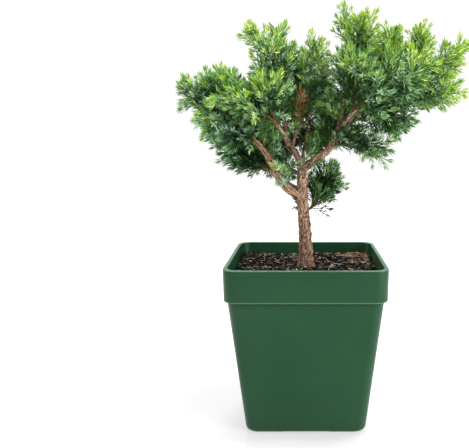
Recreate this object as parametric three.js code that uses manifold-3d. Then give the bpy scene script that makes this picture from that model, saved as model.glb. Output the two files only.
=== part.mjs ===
// A young juniper grown as a small open tree, in a square plastic grower's pot.
// Millimetres, +Z up. The origin is the middle of the pot's flat underside, the pot's sides face
// +-X and +-Y, and the longest bough reaches towards +X.
//
// The pot is a tapered shell with a deep rim band. Potting mix fills it to just under the lip, and the
// trunk stands on the mix with a flat cut at ground level. Boughs leave the trunk and each other, each
// one tapering limb, and each mass of needles grows from a bough on one stem: thin toothed sprays stand
// out all round it, and keep to the space that lies nearer to their own stem than to any other.

import * as THREE from 'three';
import { mergeVertices } from 'three/addons/utils/BufferGeometryUtils.js';
import Module from 'manifold-3d';

const wasm = await Module();
wasm.setup();

// ---- driving dimensions ----

const gap = 0.3; // between neighbouring solids

const pot = {
  height: 137,
  rimWidth: 127,
  rimHeight: 25.6,
  rimTaper: 0.4, // how much nearer each side of the band stands at its lower edge
  bodyWidth: 121.4, // just under the rim band
  footWidth: 96.4,
  rimCorner: 10.5,
  footCorner: 8,
  footRound: 4.5, // rounding between the walls and the underside
  lip: 3.2,
  lipRound: 0.8,
  wall: 1.7,
  floor: 2.6,
};
const footArch = { width: 38, height: 1.4, depth: 7 }; // shallow step under the middle of each side
const drainHole = { radius: 4, fromCentre: 26, count: 4 };
const cornerSteps = 4;

const soil = { level: 126.2, domeRise: 1.6, edgeDrop: 1.2, flatRadius: 12 };

// Every limb runs from a place on its parent, through its via points, to its tip.
const limbs = {
  trunk: {
    root: [0, 0, soil.level + gap],
    via: [[-0.2, 0, 144.4], [-1.4, -1, 166], [-2.7, -0.6, 184.5], [-3.3, 0.4, 200.9]],
    tip: [-3.5, 1, 214.2],
    radius: [5.3, 3.1],
    flare: 1.35,
    sides: 12,
    steps: 12,
  },
  bough_left: {
    parent: 'trunk', at: 0.6,
    via: [[-18.3, -6, 196.9], [-26.3, -9, 211.1], [-33.8, -11, 224.9]],
    tip: [-47.9, -13.5, 240.1],
    radius: [3.4, 1.5],
    sides: 8, steps: 8,
  },
  bough_left_low: {
    parent: 'trunk', at: 0.68,
    via: [[-18.4, 8, 198.4]],
    tip: [-30.5, 13, 207.4],
    radius: [1.9, 1.3],
    sides: 6, steps: 4,
  },
  bough_leader: {
    parent: 'trunk', at: 0.97,
    via: [[-8.2, 2, 221.9], [-14.9, 2, 230.6]],
    tip: [-18, 0, 250.7],
    radius: [2.6, 1.4],
    sides: 8, steps: 6,
  },
  bough_centre: {
    parent: 'bough_leader', at: 0.5,
    via: [[-9.3, 6, 235.9]],
    tip: [-5.2, 10, 248.5],
    radius: [1.7, 1.1],
    sides: 6, steps: 4,
  },
  bough_right: {
    parent: 'trunk', at: 0.94,
    via: [[8.2, -2, 218.1], [19.9, -5, 227.2]],
    tip: [28.6, -4, 247.3],
    radius: [2.8, 1.9],
    sides: 8, steps: 7,
  },
  bough_right_up: {
    parent: 'bough_right', at: 0.97,
    via: [[29.6, -2.5, 256.5]],
    tip: [31.6, 0, 267.9],
    radius: [1.7, 1.1],
    sides: 6, steps: 3,
  },
  bough_right_out: {
    parent: 'bough_right', at: 0.9,
    via: [[44.7, -7, 257.9]],
    tip: [58.9, -7, 265.7],
    radius: [1.7, 1.1],
    sides: 6, steps: 5,
  },
  bough_low_right: {
    parent: 'trunk', at: 0.36,
    via: [[0.3, 4, 173.2]],
    tip: [4.5, 8, 176.2],
    radius: [1.5, 1.1],
    sides: 6, steps: 3,
  },
  bough_back_left: {
    parent: 'bough_leader', at: 0.35,
    via: [[-15.5, 13, 230.3]],
    tip: [-22.9, 23, 240.3],
    radius: [1.8, 1.2],
    sides: 6, steps: 4,
  },
  bough_back: {
    parent: 'trunk', at: 0.99,
    via: [[-1, 13, 225.2]],
    tip: [1, 26, 239.5],
    radius: [1.9, 1.2],
    sides: 6, steps: 4,
  },
  bough_back_right: {
    parent: 'bough_right', at: 0.62,
    via: [[27.8, 9, 236.1]],
    tip: [38.5, 22, 247.4],
    radius: [1.8, 1.2],
    sides: 6, steps: 4,
  },
  bough_front_left: {
    parent: 'bough_leader', at: 0.5,
    via: [[-18.3, -12, 238.7]],
    tip: [-23.1, -23, 245.8],
    radius: [1.7, 1.1],
    sides: 6, steps: 4,
  },
  bough_front_right: {
    parent: 'bough_right', at: 0.8,
    via: [[32.3, -17, 249.3]],
    tip: [39, -27, 257.4],
    radius: [1.7, 1.1],
    sides: 6, steps: 4,
  },
};

// Cut twigs that stand out of the trunk: place along it, turn round it, length and radius.
const stubs = [
  { at: 0.5, turn: 185, length: 2.6, radius: 1.5 },
  { at: 0.56, turn: 170, length: 2, radius: 1.3 },
  { at: 0.36, turn: 10, length: 1.2, radius: 1.4 },
];

// Masses of needles: the limb and the place on it where the stem leaves, the tip that it reaches,
// the length of its longest side shoots, and their number.
const masses = {
  needles_left_tip: { limb: 'bough_left', at: 1, tip: [-97.3, -22, 273.2], spread: 30, shoots: 9 },
  needles_left_up: { limb: 'bough_left', at: 0.9, tip: [-68.1, 12, 287.2], spread: 32, shoots: 9 },
  needles_left_low: { limb: 'bough_left', at: 0.8, tip: [-78.7, -40, 251.3], spread: 32, shoots: 10 },
  needles_left_inner: { limb: 'bough_left', at: 0.6, tip: [-47.7, 34, 274.1], spread: 30, shoots: 9 },
  needles_left_under: { limb: 'bough_left_low', at: 1, tip: [-76.3, 14, 231.9], spread: 28, shoots: 8 },
  needles_left_back: { limb: 'bough_left_low', at: 0.8, tip: [-59.5, 46, 223.6], spread: 30, shoots: 7 },
  needles_top_left: { limb: 'bough_leader', at: 1, tip: [-41, -16, 320.9], spread: 28, shoots: 8 },
  needles_top_inner: { limb: 'bough_leader', at: 0.85, tip: [-20.5, 16, 324.9], spread: 30, shoots: 8 },
  needles_centre: { limb: 'bough_centre', at: 1, tip: [11.2, -14, 309.9], spread: 30, shoots: 9 },
  needles_spike: { limb: 'bough_right_up', at: 1, tip: [30.2, 6, 341.1], spread: 18, shoots: 6 },
  needles_top_right: { limb: 'bough_right_up', at: 0.8, tip: [46.7, -18, 328], spread: 30, shoots: 9 },
  needles_right_crest: { limb: 'bough_right_out', at: 0.5, tip: [72.3, 20, 324], spread: 32, shoots: 9 },
  needles_right_up: { limb: 'bough_right_out', at: 0.85, tip: [90.3, -14, 318.2], spread: 32, shoots: 10 },
  needles_far_up: { limb: 'bough_right_out', at: 1, tip: [132.3, 4, 308.7], spread: 32, shoots: 9 },
  needles_far_mid: { limb: 'bough_right_out', at: 0.75, tip: [119.3, -30, 268.8], spread: 32, shoots: 9 },
  needles_right_low: { limb: 'bough_right_out', at: 0.35, tip: [83.1, 8, 246.1], spread: 28, shoots: 8 },
  needles_right_hang: { limb: 'bough_right', at: 0.66, tip: [67.6, -16, 224.2], spread: 26, shoots: 8 },
  needles_right_inner: { limb: 'bough_right', at: 0.45, tip: [16.6, 26, 283.7], spread: 30, shoots: 8 },
  needles_low_right: { limb: 'bough_low_right', at: 1, tip: [20.7, 13, 210.8], spread: 25, shoots: 8 },
  needles_back_left: { limb: 'bough_back_left', at: 1, tip: [-63.7, 60, 281.3], spread: 34, shoots: 8 },
  needles_back_low: { limb: 'bough_back_left', at: 0.85, tip: [-17.7, 38, 198.8], spread: 30, shoots: 8 },
  needles_back: { limb: 'bough_back', at: 1, tip: [0.3, 72, 307.7], spread: 34, shoots: 8 },
  needles_back_under: { limb: 'bough_back', at: 0.85, tip: [14.8, 50, 230.7], spread: 30, shoots: 8 },
  needles_back_right: { limb: 'bough_back_right', at: 1, tip: [65.7, 62, 317], spread: 34, shoots: 9 },
  needles_back_far: { limb: 'bough_back_right', at: 0.9, tip: [104, 58, 287.1], spread: 34, shoots: 8 },
  needles_front_left: { limb: 'bough_front_left', at: 1, tip: [-66.9, -44, 264.9], spread: 32, shoots: 8 },
  needles_front: { limb: 'bough_front_left', at: 0.74, tip: [-31.8, -44, 275.9], spread: 30, shoots: 8 },
  needles_front_right: { limb: 'bough_front_right', at: 0.68, tip: [31.1, -46, 298.7], spread: 32, shoots: 8 },
  needles_front_far: { limb: 'bough_front_right', at: 1, tip: [89.4, -50, 288.2], spread: 34, shoots: 8 },
};

const stem = { rootRadius: 1, tipRadius: 0.5, sides: 3, steps: 3, leave: 0.4 };
const growth = {
  first: 0.02, last: 0.72, // where the side shoots start and stop along the stem
  goldenTurn: 2.4,
  forward: 1.3, // lean towards the stem's tip
  lift: 0.25, // lean towards the light
  thinning: 0.6, // how much shorter the last side shoots are
  leadFrom: 0.7, // where the leading spray takes over from the stem
  tries: [1, 0.95, 0.9, 0.82, 0.74, 0.66, 0.58, 0.5], // shares of its length that a shoot is tried at
  retryTurn: 0.8,
};
const spray = {
  pitch: 12.5, // from tooth to tooth
  stalk: 0.18, // share of the length before the first tooth
  stalkWidth: 0.5, // half the blade there
  coreWidth: 2, // half the blade between the teeth
  needleOut: 8.4, // how far a tooth stands out
  needleForward: 9, // how far it leans forward
  needleLift: 2.4, // how far it tips up or down
  slimming: 0.35, // how much smaller the last teeth are
  thickness: 0.8,
  clearance: 1, // from other limbs and from the next mass's space
  touch: 0.05, // the volume that two sprays of a mass may share at their roots
};

const colours = {
  pot: { color: 0x33583f, roughness: 0.42 },
  soil: { color: 0x2a1d15, roughness: 0.95 },
  bark: { color: 0x7c5a42, roughness: 0.9 },
  needles: { color: 0x4f7d2e, roughness: 0.6 },
};

// ---- helpers ----

const vector = (p) => new THREE.Vector3(...p);
const mix = THREE.MathUtils.lerp;
const skyward = new THREE.Vector3(0, 0, 1);

// numbers from 0 to 1, always the same ones for a seed
function seeded(seed) {
  let state = seed >>> 0;
  const next = () => {
    state = (Math.imul(state, 1664525) + 1013904223) >>> 0;
    return state / 4294967296;
  };
  next();
  next();
  return next;
}

// a closed skin over rings of equal count, each ring counter-clockwise seen from the next one
function skin(rings) {
  const count = rings[0].length;
  const index = [];
  for (let k = 0; k < rings.length - 1; k++) {
    for (let i = 0; i < count; i++) {
      const a = k * count + i;
      const b = k * count + ((i + 1) % count);
      index.push(a, b, b + count, a, b + count, a + count);
    }
  }
  const last = (rings.length - 1) * count;
  for (let i = 1; i < count - 1; i++) {
    index.push(0, i + 1, i, last, last + i, last + i + 1);
  }
  return new THREE.BufferGeometry().setFromPoints(rings.flat()).setIndex(index);
}

function solidOf(geometry) {
  const bare = new THREE.BufferGeometry();
  bare.setAttribute('position', geometry.getAttribute('position'));
  bare.setIndex(geometry.index);
  const merged = mergeVertices(bare, 1e-5);
  return new wasm.Manifold(new wasm.Mesh({
    numProp: 3,
    vertProperties: merged.attributes.position.array,
    triVerts: new Uint32Array(merged.index.array),
  }));
}

function geometryOf(solid) {
  const mesh = solid.getMesh();
  const position = new Float32Array(mesh.numVert * 3);
  for (let i = 0; i < mesh.numVert; i++) {
    position.set(mesh.vertProperties.subarray(i * mesh.numProp, i * mesh.numProp + 3), i * 3);
  }
  const geometry = new THREE.BufferGeometry();
  geometry.setAttribute('position', new THREE.BufferAttribute(position, 3));
  geometry.setIndex(new THREE.BufferAttribute(mesh.triVerts, 1));
  geometry.computeVertexNormals();
  return geometry;
}

// the largest body of a solid, so that a scrap that a cut leaves is dropped
function largest(solid) {
  return solid.decompose().sort((a, b) => b.volume() - a.volume())[0];
}

function boxSolid(width, depth, height, centre) {
  return solidOf(new THREE.BoxGeometry(width, depth, height).translate(...centre));
}

// an upright rod
function rodSolid(radius, length, centre) {
  return solidOf(new THREE.CylinderGeometry(radius, radius, length, 16)
    .rotateX(Math.PI / 2)
    .translate(...centre));
}

// ---- pot and potting mix ----

// a square ring with rounded corners, `half` from the axis to each side
function squareRing(half, corner, z) {
  const ring = [];
  for (let side = 0; side < 4; side++) {
    const turn = (side * Math.PI) / 2;
    const centre = new THREE.Vector2(half - corner, half - corner)
      .rotateAround(new THREE.Vector2(), turn);
    for (let i = 0; i <= cornerSteps; i++) {
      const angle = turn + (i / cornerSteps) * (Math.PI / 2);
      ring.push(new THREE.Vector3(
        centre.x + corner * Math.cos(angle),
        centre.y + corner * Math.sin(angle),
        z,
      ));
    }
  }
  return ring;
}

const bandBottom = pot.height - pot.rimHeight;

// half width and corner radius of the body's outside at a height
function bodyAt(z) {
  const t = z / bandBottom;
  return {
    half: mix(pot.footWidth, pot.bodyWidth, t) / 2,
    corner: mix(pot.footCorner, pot.rimCorner - 2, t),
  };
}

function potSolid() {
  const rings = [];
  const add = (half, corner, z) => rings.push(squareRing(half, corner, z));
  for (const angle of [0, 30, 60, 90].map(THREE.MathUtils.degToRad)) {
    const z = pot.footRound * (1 - Math.cos(angle));
    const inset = pot.footRound * (1 - Math.sin(angle));
    add(bodyAt(z).half - inset, pot.footCorner - inset * 0.6, z);
  }
  add(bodyAt(bandBottom).half, bodyAt(bandBottom).corner, bandBottom);
  const rimHalf = pot.rimWidth / 2;
  const bandHalf = rimHalf - pot.rimTaper;
  add(bandHalf - pot.lipRound, pot.rimCorner - 1, bandBottom);
  add(bandHalf, pot.rimCorner, bandBottom + pot.lipRound);
  add(rimHalf, pot.rimCorner, pot.height - pot.lipRound);
  add(rimHalf - pot.lipRound / 2, pot.rimCorner, pot.height);
  add(rimHalf - pot.lip + pot.lipRound / 2, pot.rimCorner - pot.lip, pot.height);
  add(rimHalf - pot.lip, pot.rimCorner - pot.lip, pot.height - pot.lipRound);
  add(bandHalf - pot.lip, pot.rimCorner - pot.lip, bandBottom + pot.wall + pot.lip);
  add(bodyAt(bandBottom).half - pot.wall, pot.rimCorner - pot.lip - 1, bandBottom + pot.wall);
  add(bodyAt(pot.floor).half - pot.wall - 1, pot.footCorner - pot.wall, pot.floor);
  let made = solidOf(skin(rings));
  const { width, height, depth } = footArch;
  for (const side of [-1, 1]) {
    const reach = (side * pot.footWidth) / 2;
    made = made.subtract(boxSolid(width, depth * 2, height * 2, [0, reach, 0]));
    made = made.subtract(boxSolid(depth * 2, width, height * 2, [reach, 0, 0]));
  }
  for (let i = 0; i < drainHole.count; i++) {
    const turn = ((i + 0.5) / drainHole.count) * 2 * Math.PI;
    const centre = new THREE.Vector3(drainHole.fromCentre, 0, 0).applyAxisAngle(skyward, turn);
    made = made.subtract(rodSolid(drainHole.radius, pot.floor * 4, centre));
  }
  return made;
}

function soilSolid() {
  const rings = [];
  const add = (half, corner, z) => rings.push(squareRing(half, corner, z));
  const bandInside = pot.rimWidth / 2 - pot.rimTaper - pot.lip - gap;
  add(bodyAt(pot.floor).half - pot.wall - 1 - gap, pot.footCorner - pot.wall, pot.floor + gap);
  add(bodyAt(bandBottom).half - pot.wall - gap, pot.rimCorner - pot.lip - 1, bandBottom + pot.wall);
  add(bandInside, pot.rimCorner - pot.lip, bandBottom + pot.wall + pot.lip + gap);
  add(bandInside, pot.rimCorner - pot.lip, soil.level - soil.edgeDrop);
  add(bandInside * 0.75, pot.rimCorner * 2, soil.level + soil.domeRise);
  add(soil.flatRadius, soil.flatRadius * 0.9, soil.level);
  return solidOf(skin(rings));
}

// ---- trunk and boughs ----

const curves = {};
const radii = {};
for (const [name, limb] of Object.entries(limbs)) {
  const root = limb.parent ? curves[limb.parent].getPoint(limb.at) : vector(limb.root);
  const points = [root, ...limb.via.map(vector), vector(limb.tip)];
  curves[name] = new THREE.CatmullRomCurve3(points, false, 'catmullrom', 0.5);
  radii[name] = (t) => {
    const flare = 1 + ((limb.flare || 1) - 1) * Math.exp(-t * 16);
    return mix(limb.radius[0], limb.radius[1], t) * flare;
  };
}

// one tapering tube along a limb, `extra` thicker all over and longer at its tip
function limbSolid(name, extra = 0) {
  const { sides, steps } = limbs[name];
  const curve = curves[name];
  const rings = [];
  let side = new THREE.Vector3(0.3, 1, 0.2);
  for (let k = 0; k <= steps; k++) {
    const t = k / steps;
    const along = curve.getTangent(t);
    const centre = curve.getPoint(t);
    if (k === steps) centre.addScaledVector(along, extra);
    side = side.clone().addScaledVector(along, -side.dot(along)).normalize();
    const other = along.clone().cross(side);
    const ring = [];
    for (let i = 0; i < sides; i++) {
      const angle = (2 * Math.PI * i) / sides;
      const radius = radii[name](t) + extra;
      ring.push(centre.clone()
        .addScaledVector(side, radius * Math.cos(angle))
        .addScaledVector(other, radius * Math.sin(angle)));
    }
    rings.push(ring);
  }
  if (!limbs[name].parent) for (const p of rings[0]) p.z = limbs[name].root[2];
  return solidOf(skin(rings));
}

// the room of the limbs and stems made so far, each with the gap round it
const taken = [];

// what is left of a solid beside them
function cutClear(solid) {
  return largest(taken.reduce((left, room) => left.subtract(room), solid));
}

function stubSolid({ at, turn, length, radius }) {
  const centre = curves.trunk.getPoint(at);
  const out = new THREE.Vector3(1, 0, 0).applyAxisAngle(skyward, THREE.MathUtils.degToRad(turn));
  const reach = radii.trunk(at) + length;
  const cone = new THREE.CylinderGeometry(radius * 0.7, radius, reach, 7);
  cone.translate(0, reach / 2, 0);
  cone.applyQuaternion(new THREE.Quaternion().setFromUnitVectors(new THREE.Vector3(0, 1, 0), out));
  cone.translate(centre.x, centre.y, centre.z);
  return solidOf(cone);
}

// ---- masses of needles ----

let seed = 11;
for (const mass of Object.values(masses)) {
  const limb = curves[mass.limb];
  const root = limb.getPoint(mass.at);
  const tip = vector(mass.tip);
  const leave = limb.getTangent(mass.at).multiplyScalar(stem.leave * root.distanceTo(tip));
  mass.curve = new THREE.QuadraticBezierCurve3(root, root.clone().add(leave), tip);
  mass.line = mass.curve.getPoints(10);
  mass.seed = seed;
  seed += 101;
}

function distanceToLine(point, line) {
  let least = Infinity;
  const on = new THREE.Vector3();
  const piece = new THREE.Line3();
  for (let i = 0; i < line.length - 1; i++) {
    piece.set(line[i], line[i + 1]).closestPointToPoint(point, true, on);
    least = Math.min(least, on.distanceTo(point));
  }
  return least;
}

const limbLines = Object.keys(limbs).map((name) => {
  const count = 12;
  const points = curves[name].getPoints(count);
  return { points, radius: points.map((_, i) => radii[name](i / count)) };
});

// true where a point is in a mass's own space and clear of every limb
function isFree(point, mass) {
  const own = distanceToLine(point, mass.line);
  for (const other of Object.values(masses)) {
    if (other !== mass && distanceToLine(point, other.line) < own + spray.clearance) return false;
  }
  for (const { points, radius } of limbLines) {
    if (distanceToLine(point, points) < Math.max(...radius) * 0.8 + spray.clearance) return false;
  }
  return true;
}

// Side shoot number i of a mass: where it leaves the stem, its direction and its length.
function sideShoot(mass, i, attempt) {
  const rand = seeded(mass.seed + 31 * i);
  const t = mix(growth.first, growth.last, (i + 0.5 * rand()) / mass.shoots);
  const along = mass.curve.getTangent(t);
  const side = along.clone().cross(new THREE.Vector3(0.2, 1, 0.1)).normalize();
  const other = along.clone().cross(side);
  const turn = i * growth.goldenTurn + rand() - 0.5 + attempt * growth.retryTurn;
  const direction = along.clone().multiplyScalar(growth.forward)
    .addScaledVector(side, Math.cos(turn))
    .addScaledVector(other, Math.sin(turn))
    .addScaledVector(skyward, growth.lift)
    .normalize();
  const full = mass.spread * (1 - growth.thinning * t) * mix(0.9, 1.15, rand());
  return { root: mass.curve.getPoint(t), direction, length: full * growth.tries[attempt] };
}

// The outline of a spray, from its root round to its root again: each point is along, across, lifted.
function sprayOutline(length, rand) {
  const stalk = length * spray.stalk;
  const teeth = Math.max(2, Math.round((length - stalk) / spray.pitch));
  const pitch = (length - stalk - spray.needleForward * (1 - spray.slimming)) / teeth;
  const edge = (sign, shift) => {
    const points = [[0, sign * spray.stalkWidth, 0]];
    for (let k = 0; k < teeth; k++) {
      const s = stalk + (k + shift) * pitch;
      const size = 1 - (spray.slimming * k) / teeth;
      const lift = spray.needleLift * (rand() < 0.5 ? -1 : 1) * mix(0.6, 1, rand());
      points.push([s, sign * spray.coreWidth * size, 0]);
      points.push([s + spray.needleForward * size, sign * spray.needleOut * size, lift]);
    }
    return points;
  };
  return [...edge(1, 0), [length, 0, 0], ...edge(-1, 0.4).reverse()];
}

const grown = []; // the masses made so far

// The thin toothed blade of a spray, with its root in the stem, or null where it would leave the
// mass's space or cross a spray that is there.
function spraySolid(root, direction, roll, length, mass, others, rand) {
  const across = direction.clone().cross(skyward).normalize().applyAxisAngle(direction, roll);
  const normal = direction.clone().cross(across);
  const outline = sprayOutline(length, rand);
  const corners = outline.map(([s, w, h]) => root.clone()
    .addScaledVector(direction, s)
    .addScaledVector(across, w)
    .addScaledVector(normal, h));
  if (!corners.every((corner, i) => outline[i][0] === 0 || isFree(corner, mass))) return null;
  const contour = outline.map(([s, w]) => new THREE.Vector2(s, w));
  if (THREE.ShapeUtils.isClockWise(contour)) {
    contour.reverse();
    corners.reverse();
  }
  const half = normal.multiplyScalar(spray.thickness / 2);
  const points = [...corners.map((p) => p.clone().add(half)), ...corners.map((p) => p.clone().sub(half))];
  const count = corners.length;
  const index = [];
  for (const [a, b, c] of THREE.ShapeUtils.triangulateShape(contour, [])) {
    index.push(a, b, c, a + count, c + count, b + count);
  }
  for (let i = 0; i < count; i++) {
    const j = (i + 1) % count;
    index.push(i, i + count, j + count, i, j + count, j);
  }
  const made = solidOf(new THREE.BufferGeometry().setFromPoints(points).setIndex(index));
  const shared = (other) => made.intersect(other).volume();
  const fits = others.every((other) => shared(other) < spray.touch)
    && grown.every((other) => shared(other) === 0);
  return fits ? made : null;
}

function stemSolid(mass, extra = 0) {
  const rings = [];
  let side = new THREE.Vector3(0.3, 1, 0.2);
  for (let k = 0; k <= stem.steps; k++) {
    const t = (k / stem.steps) * growth.leadFrom;
    const along = mass.curve.getTangent(t);
    side = side.clone().addScaledVector(along, -side.dot(along)).normalize();
    const other = along.clone().cross(side);
    const radius = mix(stem.rootRadius, stem.tipRadius, k / stem.steps) + extra;
    const ring = [];
    for (let i = 0; i < stem.sides; i++) {
      const angle = (2 * Math.PI * i) / stem.sides;
      ring.push(mass.curve.getPoint(t)
        .addScaledVector(side, radius * Math.cos(angle))
        .addScaledVector(other, radius * Math.sin(angle)));
    }
    rings.push(ring);
  }
  return solidOf(skin(rings));
}

function massSolid(name) {
  const mass = masses[name];
  const rand = seeded(mass.seed + 7);
  const sprays = [];
  const grow = (root, direction, length) => {
    const made = spraySolid(root, direction, rand() * Math.PI, length, mass, sprays, rand);
    if (made) sprays.push(made);
    return made;
  };
  const leadRoot = mass.curve.getPoint(growth.leadFrom - 0.01);
  const lead = mass.curve.getPoint(1).sub(leadRoot);
  while (!grow(leadRoot, lead.clone().normalize(), lead.length()));
  for (let i = 0; i < mass.shoots; i++) {
    for (let attempt = 0; attempt < growth.tries.length; attempt++) {
      const { root, direction, length } = sideShoot(mass, i, attempt);
      if (grow(root, direction, length)) break;
    }
  }
  const made = cutClear(wasm.Manifold.union([stemSolid(mass), ...sprays]));
  taken.push(stemSolid(mass, gap));
  grown.push(made);
  return made;
}

// ---- the whole plant ----

const group = new THREE.Group();

function addMesh(name, solid, look) {
  const mesh = new THREE.Mesh(geometryOf(solid), new THREE.MeshStandardMaterial({ ...look, metalness: 0 }));
  mesh.name = name;
  group.add(mesh);
}

addMesh('pot', potSolid(), colours.pot);
addMesh('potting_mix', soilSolid(), colours.soil);
for (const [name, limb] of Object.entries(limbs)) {
  let made = cutClear(limbSolid(name));
  if (!limb.parent) for (const stub of stubs) made = made.add(stubSolid(stub));
  taken.push(limbSolid(name, gap));
  addMesh(name, made, colours.bark);
}
for (const name of Object.keys(masses)) addMesh(name, massSolid(name), colours.needles);

export default group;
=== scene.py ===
import math

import bmesh
import bpy
import numpy as np
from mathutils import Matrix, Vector, noise


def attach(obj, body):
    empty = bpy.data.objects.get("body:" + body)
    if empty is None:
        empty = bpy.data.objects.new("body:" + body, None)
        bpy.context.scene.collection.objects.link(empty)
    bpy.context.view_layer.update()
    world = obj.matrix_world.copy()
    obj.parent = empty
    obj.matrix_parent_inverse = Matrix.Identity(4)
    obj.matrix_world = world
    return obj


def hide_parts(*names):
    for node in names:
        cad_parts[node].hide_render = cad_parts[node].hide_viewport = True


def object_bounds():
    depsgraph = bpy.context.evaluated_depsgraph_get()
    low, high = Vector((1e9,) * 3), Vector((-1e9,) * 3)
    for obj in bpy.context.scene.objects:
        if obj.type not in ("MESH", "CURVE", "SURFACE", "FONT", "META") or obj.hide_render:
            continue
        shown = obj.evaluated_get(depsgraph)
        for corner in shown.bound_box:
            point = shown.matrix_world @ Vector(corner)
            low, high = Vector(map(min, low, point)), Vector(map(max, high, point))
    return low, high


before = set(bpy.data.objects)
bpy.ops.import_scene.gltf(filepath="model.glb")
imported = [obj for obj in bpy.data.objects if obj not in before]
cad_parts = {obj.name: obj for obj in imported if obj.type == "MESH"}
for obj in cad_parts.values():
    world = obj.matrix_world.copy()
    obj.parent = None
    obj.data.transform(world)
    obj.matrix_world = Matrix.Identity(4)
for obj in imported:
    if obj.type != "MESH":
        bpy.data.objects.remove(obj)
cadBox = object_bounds()
scene = bpy.context.scene
print("frame loaded:", len(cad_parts), "nodes")

# A young juniper grown as a small tree in a square plastic pot. Lengths of the plant are in
# millimetres in the dictionaries and become metres when a mesh is made.

def mix(a, b, t):
    return a + (b - a) * t


def unit(v):
    v = np.asarray(v, float)
    return v / np.maximum(np.linalg.norm(v, axis=-1, keepdims=True), 1e-9)


def paint(red, green, blue):
    # a screen colour from 0 to 255 as the linear colour that a shader takes
    shares = [c / 255 for c in (red, green, blue)]
    return tuple(c / 12.92 if c < 0.04045 else ((c + 0.055) / 1.055) ** 2.4 for c in shares) + (1,)


def seeded(seed):
    # numbers from 0 to 1, the same ones as the solids grow by
    state = seed & 0xFFFFFFFF

    def draw():
        nonlocal state
        state = (state * 1664525 + 1013904223) & 0xFFFFFFFF
        return state / 4294967296

    draw()
    draw()
    return draw


def clearSelection():
    bpy.ops.object.select_all(action="DESELECT")


def choose(piece):
    clearSelection()
    bpy.context.view_layer.objects.active = piece
    piece.select_set(True)


def applyModifier(piece, kind, **settings):
    modifier = piece.modifiers.new(kind.lower(), kind)
    for key, value in settings.items():
        setattr(modifier, key, value)
    choose(piece)
    bpy.ops.object.modifier_apply(modifier=modifier.name)


def turnOutwards():
    # from edit mode, with all its faces facing out, back to object mode
    bpy.ops.mesh.select_all(action="SELECT")
    bpy.ops.mesh.normals_make_consistent(inside=False)
    bpy.ops.object.mode_set(mode="OBJECT")


def meshFrom(name, points, corners, starts, smooth=True):
    # a mesh from arrays: points in metres, the corners of all faces in a row, where each face starts
    mesh = bpy.data.meshes.new(name)
    mesh.vertices.add(len(points))
    mesh.vertices.foreach_set("co", np.asarray(points, np.float32).ravel())
    mesh.loops.add(len(corners))
    mesh.loops.foreach_set("vertex_index", np.asarray(corners, np.int32))
    mesh.polygons.add(len(starts))
    mesh.polygons.foreach_set("loop_start", np.asarray(starts, np.int32))
    mesh.polygons.foreach_set("use_smooth", np.full(len(starts), smooth))
    mesh.update(calc_edges=True)
    mesh.validate()
    piece = bpy.data.objects.new(name, mesh)
    bpy.context.collection.objects.link(piece)
    return piece


def handOver(piece, name, slot, nodes, *looks):
    # names a finished piece, gives it its materials, hangs it on the root body and hides the frame's nodes
    # that it stands for
    piece.name = name
    piece.data.name = name
    piece.data.materials.clear()
    for look in looks:
        piece.data.materials.append(look)
    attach(piece, "root")
    if nodes:
        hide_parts(*nodes)
    print("made", name, len(piece.data.polygons), "faces")


class Wire:
    # a socket that takes part in sums
    def __init__(self, look, socket):
        self.look = look
        self.socket = socket

    def math(self, operation, first, second):
        return self.look.node("Math", {"operation": operation}, {0: first, 1: second})

    def __add__(self, other):
        return self.math("ADD", self, other)

    def __radd__(self, other):
        return self.math("ADD", other, self)

    def __sub__(self, other):
        return self.math("SUBTRACT", self, other)

    def __rsub__(self, other):
        return self.math("SUBTRACT", other, self)

    def __mul__(self, other):
        return self.math("MULTIPLY", self, other)

    def __rmul__(self, other):
        return self.math("MULTIPLY", other, self)


class Look:
    # a material and the one method that adds nodes to it
    def __init__(self, name, **constants):
        self.material = bpy.data.materials.new(name)
        self.material.use_nodes = True
        self.tree = self.material.node_tree
        self.tree.nodes.clear()
        self.shader = self.tree.nodes.new("ShaderNodeBsdfPrincipled")
        out = self.tree.nodes.new("ShaderNodeOutputMaterial")
        self.tree.links.new(self.shader.outputs[0], out.inputs[0])
        for key, value in constants.items():
            self.feed(key, value)

    def node(self, kind, settings=None, inputs=None, output=0):
        made = self.tree.nodes.new("ShaderNode" + kind)
        for key, value in (settings or {}).items():
            if key == "stops":
                while len(made.color_ramp.elements) < len(value):
                    made.color_ramp.elements.new(0.5)
                for stop, (place, colour) in zip(made.color_ramp.elements, value):
                    stop.position = place
                    stop.color = colour
            else:
                setattr(made, key, value)
        for key, value in (inputs or {}).items():
            if isinstance(value, Wire):
                self.tree.links.new(value.socket, made.inputs[key])
            else:
                made.inputs[key].default_value = value
        return Wire(self, made.outputs[output])

    def feed(self, key, value):
        socket = self.shader.inputs[key.replace("_", " ")]
        if isinstance(value, Wire):
            self.tree.links.new(value.socket, socket)
        else:
            socket.default_value = value

    def place(self):
        return self.node("TexCoord", output="Object")

    def stretched(self, place, scale):
        return self.node("Mapping", inputs={"Vector": place, "Scale": scale})

    def grain(self, place, scale, detail=3, roughness=0.5, distortion=0):
        return self.node("TexNoise", inputs={
            "Vector": place, "Scale": scale, "Detail": detail, "Roughness": roughness,
            "Distortion": distortion,
        })

    def ramp(self, value, stops):
        return self.node("ValToRGB", {"stops": stops}, {0: value})

    def fade(self, value, start, end, first=0, last=1):
        # goes from first to last while the value goes from start to end
        return self.node("MapRange", inputs={"Value": value, 1: start, 2: end, 3: first, 4: last})

    def blend(self, share, first, second):
        return self.node("Mix", {"data_type": "RGBA"}, {0: share, 6: first, 7: second}, output=2)

    def bumped(self, height, strength, distance, under=None):
        inputs = {"Height": height, "Strength": strength, "Distance": distance}
        if under is not None:
            inputs["Normal"] = under
        return self.node("Bump", inputs=inputs)


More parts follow.
